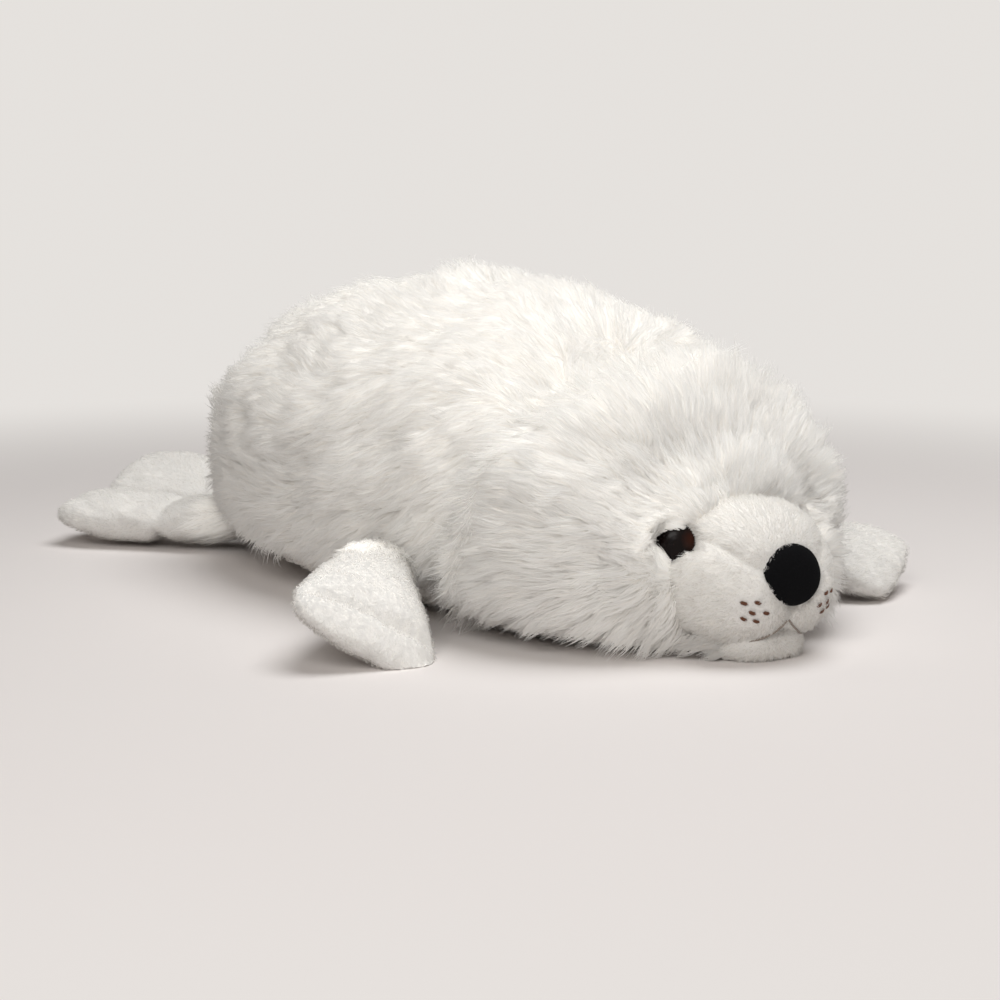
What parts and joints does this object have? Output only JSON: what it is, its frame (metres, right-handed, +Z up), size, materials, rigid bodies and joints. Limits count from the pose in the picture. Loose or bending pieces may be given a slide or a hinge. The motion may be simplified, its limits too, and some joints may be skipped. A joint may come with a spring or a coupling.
{
  "type": "plush seal",
  "caption": "White long-haired plush seal pup lying on its belly, with short-pile muzzle and flippers, black nose and eyes.",
  "frame": {"origin": "on the flat belly, on the plane of symmetry, below the middle of the torso", "axes": "+Z up out of the floor, -Y the way the seal faces, +X the seal's left"},
  "size_m": [0.3359, 0.4991, 0.1502],
  "materials": {
    "long_pile_fur": "long soft pile, 15 to 20 mm",
    "short_pile_plush": "short dense pile, about 2 mm",
    "nose_cloth": "matt",
    "eye_plastic": "polished dome",
    "washer_plastic": "moulded",
    "brown_thread": "embroidered thread",
    "mouth_thread": "embroidered thread"
  },
  "bodies": {
    "root": {"torso": "long_pile_fur", "head": "long_pile_fur", "muzzle": "short_pile_plush", "chin": "short_pile_plush", "nose": "nose_cloth", "eye_left": "eye_plastic", "eye_washer_left": "washer_plastic", "front_flipper_left": "short_pile_plush", "hind_flipper_left": "short_pile_plush", "mouth_stitch_left": "mouth_thread", "whisker_spot_left_1": "brown_thread", "whisker_spot_left_2": "brown_thread", "whisker_spot_left_3": "brown_thread", "whisker_spot_left_4": "brown_thread", "whisker_spot_left_5": "brown_thread", "whisker_spot_left_6": "brown_thread", "eye_right": "eye_plastic", "eye_washer_right": "washer_plastic", "front_flipper_right": "short_pile_plush", "hind_flipper_right": "short_pile_plush", "mouth_stitch_right": "mouth_thread", "whisker_spot_right_1": "brown_thread", "whisker_spot_right_2": "brown_thread", "whisker_spot_right_3": "brown_thread", "whisker_spot_right_4": "brown_thread", "whisker_spot_right_5": "brown_thread", "whisker_spot_right_6": "brown_thread"}
  },
  "joints": []
}
